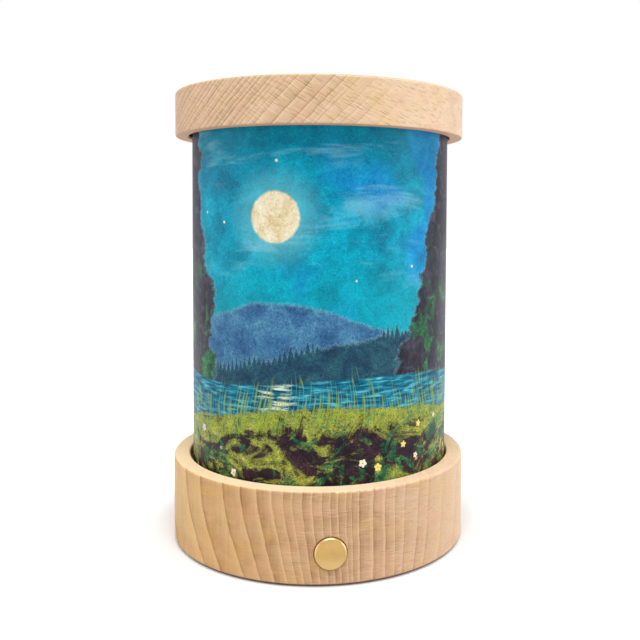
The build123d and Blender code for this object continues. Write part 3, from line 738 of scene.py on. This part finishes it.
def paint_stars(sheet):
    distance, _, chance = sheet.cells(sheet.at, 0.085)
    kept = sheet.split(chance)[0].step(0.42, 0.44)
    spark = kept * distance.step(0.055, 0.03) * sheet.v.step(62, 70)
    sheet.paint(spark * 0.9, "FBEFB4")


def paint_moon(sheet):
    """A full moon with its halo."""
    from_moon = ((sheet.u - moon_u).power(2) + (sheet.v - moon_v).power(2)).sqrt()
    from_moon = from_moon + sheet.fuzz * 0.28
    sheet.paint(from_moon.step(20, 8) * 0.34, "7CD3DA")
    wool = sheet.felt(
        sheet.at, 1.6,
        (0.28, "CBB07C"), (0.44, "E2D1A6"), (0.60, "F1E6CB"), (0.78, "FBF7EA"),
    )
    sheet.paint(from_moon.step(9.2, 8.2), wool)


def paint_hills(sheet):
    """Two rows of hills, the far one first. Pines stand on the nearer one."""
    u, v = sheet.u, sheet.v
    row = u / 1.9 + sheet.noise(sheet.join(u, 9.0), 0.3, 1) * 1.2
    tip = 1 - (row.fract() * 2 - 1).abs()
    grove = sheet.noise(sheet.join(u, 4.0), 0.07, 2).step(0.40, 0.58)
    tallness = sheet.noise(sheet.join(row.floor() * 5.3, 2.0), 1.0, 0) * 5 + 1.5
    pines = tip.power(1.3) * grove * tallness
    far_crest = (u * 0.055 + 2.6).sin() * 6 + 55 + sheet.swell * 0.5
    near_crest = (u * 0.04 + 0.4).sin() * 7 + 44 + sheet.swell * 0.8 + pines
    hills = (
        (far_crest, ("2A4F78", "386792", "4C83A6", "6EA3BA")),
        (near_crest, ("16304A", "1F4258", "2B5A68", "487C7E")),
    )
    for crest, tones in hills:
        stops = zip((0.30, 0.45, 0.60, 0.78), tones)
        above = v + sheet.fuzz * 0.6 - crest
        sheet.paint(above.step(0.7, -0.7), sheet.felt(sheet.at, 1.3, *stops))
        sheet.paint(above.abs().step(1.1, 0.1) * sheet.light_hair * 0.6, "8FC0CB")


def paint_crags(sheet):
    """Dark crags that close the view at both sides, and end again towards the back."""
    u, v, fuzz = sheet.u, sheet.v, sheet.fuzz
    crags = (sheet.noise(sheet.join(v * 0.45, u * 0.2), 0.12, 3) - 0.5) * 34
    crags = crags + (sheet.noise(sheet.join(v, u * 0.5), 0.36, 2) - 0.5) * 6
    spread = v.step(116, 30)
    left_edge = spread * 12 - 57 - crags * 0.7
    right_edge = 47 - spread * 20 + crags
    back_edge = 104 + spread * 12 + crags
    past_edge = (u + fuzz * 0.7 - right_edge).most(left_edge - u - fuzz * 0.7)
    past_edge = past_edge.least(back_edge - u.abs())
    over_foot = (v - crag_foot).step(0, 1)
    inside = past_edge.step(-0.7, 0.7) * over_foot
    rock = sheet.felt(
        sheet.join(u, v * 0.35), 1.3,
        (0.28, "16141D"), (0.45, "242230"), (0.60, "373644"), (0.78, "5A5566"),
    )
    sheet.paint(inside, rock)
    ledge = sheet.noise(sheet.join(u * 0.7, v), 0.16, 4, 0.65, 1.0).step(0.50, 0.72)
    sheet.paint(inside * ledge * 0.45, "6B6377")
    outline = past_edge.abs().step(1.6, 0.2) * sheet.light_hair * over_foot
    sheet.paint(outline * 0.6, "7FB6C6")
    grown = sheet.noise(sheet.at, 0.09, 3, 0.6, 0.7).step(0.49, 0.60) * v.step(92, 40)
    sheet.paint(inside * grown * 0.85, sheet.leaves)


def paint_lake(sheet):
    """Water with ripples, and the moon's track on it."""
    u, v = sheet.u, sheet.v
    shore = (u * 0.05 + 0.6).sin() * 2.0 + 34 + sheet.swell * 0.12
    lake = (v + sheet.fuzz * 0.35 - shore).step(0.5, -0.5)
    ripple = sheet.noise(sheet.join(u * 0.16, v), 0.9, 3, 0.6, 0.3)
    water = sheet.shades(ripple, (0.34, "083B54"), (0.46, "0D5F7A"), (0.56, "1C8A9F"), (0.70, "6FC7CE"))
    sheet.paint(lake, water)
    track = (u - moon_u + sheet.fuzz * 2).abs().step(9, 2) * ripple.step(0.50, 0.60) * lake
    sheet.paint(track * 0.8, "F1EBC9")


def paint_bank(sheet):
    """Moss and ferns over dark earth on the near bank. Gives the height of its crest."""
    u, v, fuzz = sheet.u, sheet.v, sheet.fuzz
    bank = (u * 0.035 + 1.4).sin() * 5 + 21 + sheet.swell * 0.35
    near = (v + fuzz * 0.9 - bank).step(0.7, -0.7)
    earth = sheet.felt(
        sheet.at, 1.7,
        (0.28, "110C13"), (0.45, "241822"), (0.60, "3E2731"), (0.78, "634139"),
    )
    moss = sheet.felt(
        sheet.at, 2.6,
        (0.28, "28330D"), (0.43, "5A6817"), (0.57, "919B22"), (0.74, "CDD04A"),
    )
    tuft = sheet.noise(sheet.join(u * 0.7, v), 0.10, 5, 0.66, 1.2)
    top_light = (bank - v).step(12, 1)
    covered = (tuft + top_light * 0.14 + fuzz * 0.03).step(0.48, 0.60)
    pale_loops = sheet.fibres(sheet.join(u + 90, v), 0.75, 0.07, 2.8)
    dark_loops = sheet.fibres(sheet.join(u, v + 40), 0.6, 0.07, 2.8)
    moss = sheet.mix(pale_loops * 0.55, moss, srgb("DCE071"))
    moss = sheet.mix(dark_loops * 0.6, moss, srgb("222A0A"))
    sheet.paint(near, sheet.mix(covered, earth, moss))
    fern = sheet.noise(sheet.join(u + 30, v), 0.11, 3, 0.6, 1.2)
    fern = (fern + fuzz * 0.02).step(0.52, 0.60)
    sheet.paint(near * fern * 0.8, sheet.leaves)
    sheet.paint(near * sheet.light_hair * covered * 0.7, "DDE07A")
    sheet.paint(near * sheet.dark_hair * 0.6, "0F0C10")
    return bank


def paint_grass(sheet, bank):
    """Stalks that stand along the bank, each as tall as a noise says."""
    u, v = sheet.u, sheet.v
    bent = u + ((v * 0.16 + u * 0.05).sin() * 1.5)
    stalk = sheet.fibres(sheet.join(bent, v * 0.045 + 7), 0.62, 0.045, 0.0)
    reach = sheet.noise(sheet.join(u * 0.5, 3.0), 0.5, 1) * 22 - 2
    above = v - bank
    standing = stalk * (above - reach).step(1.5, -3) * above.step(-9, -4)
    sheet.paint(standing * 0.75, "8FA83C")


def paint_flowers(sheet, bank):
    """Flower heads with five petals, scattered among the moss."""
    distance, place, chance = sheet.cells(sheet.at, 0.17)
    pick, hue, size = sheet.split(chance)
    centre_u, centre_v, _ = sheet.split(place)
    around = (sheet.v - centre_v).math("ARCTAN2", sheet.u - centre_u)
    petals = (around * 5 + hue * 6).cos() * 0.035 + 0.16 + size * 0.06
    bloom = (distance + sheet.fuzz * 0.004 - petals).step(0.015, -0.015) * pick.step(0.60, 0.62)
    bloom = bloom * (bank - 1 - sheet.v).step(-1, 2)
    tint = sheet.shades(hue, (0.30, "F6EED8"), (0.45, "D9B6E6"), (0.55, "F3C6CF"), (0.70, "FBE27A"))
    sheet.paint(bloom * 0.95, tint)
    sheet.paint(distance.step(0.07, 0.045) * bloom, "E8A823")


def paint_film(sheet):
    """White film at the cut edge and on the back."""
    radius = (sheet.across.power(2) + sheet.y.power(2)).sqrt()
    cut = (sheet.turn - sheet.cut_edge).abs().step(0.006, 0.004)
    back = radius.step(shade_radius - 0.22, shade_radius - 0.32)
    shade = sheet.noise(sheet.at, 0.3, 2).step(0.3, 0.7)
    film = sheet.mix(shade, srgb("E9E8E3"), srgb("DEDED8"))
    sheet.paint(back.most(cut), film)


def printed_sheet():
    sheet = Sheet("printed_film")
    paint_sky(sheet)
    paint_stars(sheet)
    paint_moon(sheet)
    paint_hills(sheet)
    paint_crags(sheet)
    paint_lake(sheet)
    bank = paint_bank(sheet)
    paint_grass(sheet, bank)
    paint_flowers(sheet, bank)
    paint_film(sheet)
    sheen = sheet.noise(sheet.at, 0.05, 2)
    sheet.set(Base__Color=sheet.picture, Roughness=sheen * 0.10 + 0.40, Specular__IOR__Level=0.10)
    sheet.bump(sheen * 0.25 + sheet.noise(sheet.at, 1.2, 2) * 0.01, 0.6)
    sheet.on("picture_sleeve")


printed_sheet()


# Floor, lights and world


def light_path(tree):
    """1 for the rays that see the white surroundings: from the camera, off gloss or through glass."""
    node = tree.nodes.new("ShaderNodeLightPath")
    seen = Field(tree, node.outputs["Is Camera Ray"])
    seen = seen.most(Field(tree, node.outputs["Is Glossy Ray"]))
    return seen.most(Field(tree, node.outputs["Is Transmission Ray"]))


def make_world(strength):
    """White where it is seen. Strength is how much light it gives."""
    world = bpy.data.worlds.new("world")
    world.use_nodes = True
    tree = world.node_tree
    background = tree.nodes["Background"]
    background.inputs["Color"].default_value = (1, 1, 1, 1)
    feed(tree, background.inputs["Strength"], light_path(tree) * (1 - strength) + strength)
    bpy.context.scene.world = world


def make_floor():
    """A pale floor that turns into the white background away from the lantern. Near the lantern its
    glow is lower, as painted shade around the base.
    """
    reach = 3.0
    paper_tone = 0.75
    # painted shade: the floor glows less near the lantern, so it is darker around the base
    painted_shade_glow = 0.14
    far_glow = 0.94
    glow_end = 0.10  # from the middle of the lantern
    mesh = bpy.data.meshes.new("floor")
    corners = [(x * reach, y * reach, 0) for x, y in ((-1, -1), (1, -1), (1, 1), (-1, 1))]
    mesh.from_pydata(corners, [], [(0, 1, 2, 3)])
    floor = bpy.data.objects.new("floor", mesh)
    bpy.context.scene.collection.objects.link(floor)
    material = bpy.data.materials.new("pale_floor")
    material.use_nodes = True
    tree = material.node_tree
    tree.nodes.clear()
    paper = tree.nodes.new("ShaderNodeBsdfDiffuse")
    paper.inputs["Color"].default_value = (paper_tone, paper_tone, paper_tone, 1)
    glow = tree.nodes.new("ShaderNodeEmission")
    place = tree.nodes.new("ShaderNodeNewGeometry").outputs["Position"]
    length = tree.nodes.new("ShaderNodeVectorMath")
    length.operation = "LENGTH"
    tree.links.new(place, length.inputs[0])
    distance = Field(tree, length.outputs["Value"])
    # painted shade: the glow rises from the low value at the base to the white background
    away = distance.step(base_radius * MM, glow_end) * (far_glow - painted_shade_glow) + painted_shade_glow
    feed(tree, glow.inputs["Strength"], light_path(tree) * away)
    both = tree.nodes.new("ShaderNodeAddShader")
    tree.links.new(paper.outputs[0], both.inputs[0])
    tree.links.new(glow.outputs[0], both.inputs[1])
    tree.links.new(both.outputs[0], tree.nodes.new("ShaderNodeOutputMaterial").inputs["Surface"])
    mesh.materials.append(material)


def make_lamp(name, place, size, power):
    """A square soft light that faces the middle of the lantern."""
    lantern_middle = Vector((0, 0, 0.08))
    data = bpy.data.lights.new(name, "AREA")
    data.shape = "SQUARE"
    data.size = size
    data.energy = power
    lamp = bpy.data.objects.new(name, data)
    lamp.location = place
    lamp.rotation_euler = (lantern_middle - lamp.location).to_track_quat("-Z", "Y").to_euler()
    bpy.context.scene.collection.objects.link(lamp)


make_world(strength=0.30)
make_floor()
make_lamp("top_light", place=(-0.036, -0.864, 1.916), size=1.44, power=43.5)
make_lamp("right_light", place=(1.0, -0.3, 0.15), size=0.7, power=4.5)
make_lamp("left_light", place=(-1.0, -0.1, 0.2), size=0.7, power=2.5)

bpy.context.scene.view_settings.view_transform = "Standard"
